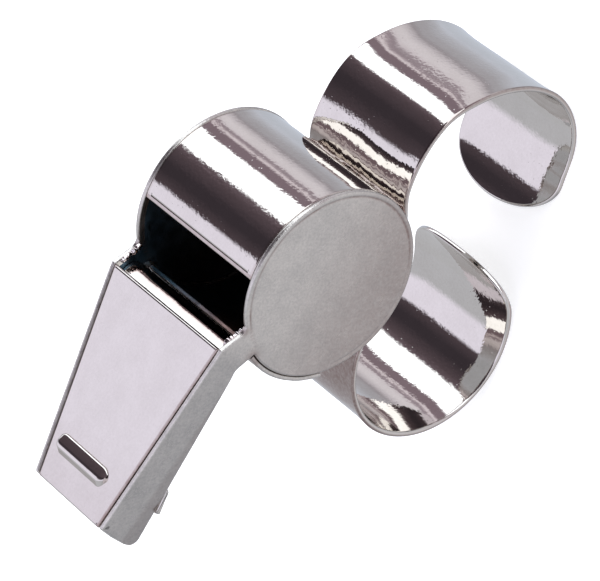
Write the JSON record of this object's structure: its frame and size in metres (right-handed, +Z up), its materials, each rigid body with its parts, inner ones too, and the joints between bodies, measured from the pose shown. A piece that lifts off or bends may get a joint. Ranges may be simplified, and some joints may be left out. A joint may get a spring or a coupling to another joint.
{
  "type": "training whistle",
  "caption": "Sheet-metal pea whistle with a tapered mouthpiece, a round sound chamber and two open finger loops for hands-free carrying.",
  "frame": {"origin": "middle of the box's base, on the surface that the two finger loops stand on", "axes": "+Z up with the whistle standing on its finger loops and the window on top, +X away from the mouth, +Y along the barrel's axis from the left cheek to the right cheek"},
  "size_m": [0.0534, 0.0194, 0.0457],
  "materials": {
    "nickel_plate": "bright nickel plate over brass sheet, finely rippled by hand polishing",
    "satin_nickel": "nickel plate over brass sheet, softly satin on the flat cheeks",
    "solder": "lumpy soft solder under the plating",
    "cork": "natural cork, matt and pitted"
  },
  "bodies": {
    "whistle": {"barrel_band": "nickel_plate", "left_cheek": "satin_nickel", "right_cheek": "satin_nickel", "mouthpiece_roof": "nickel_plate", "mouthpiece_floor": "nickel_plate", "windway_plate": "nickel_plate", "upper_tooth_lug": "nickel_plate", "lower_tooth_lug": "nickel_plate", "finger_grip": "nickel_plate", "rear_grip_solder": "solder", "front_grip_solder": "solder", "left_window_solder": "solder", "right_window_solder": "solder"},
    "pea": {"cork_pea": "cork"}
  },
  "joints": [
    {"name": "pea_roll", "type": "hinge", "parent": "whistle", "child": "pea", "pos_m": [0.00525, 0, 0.02946], "axis": [0, 1, 0], "continuous": true}
  ]
}
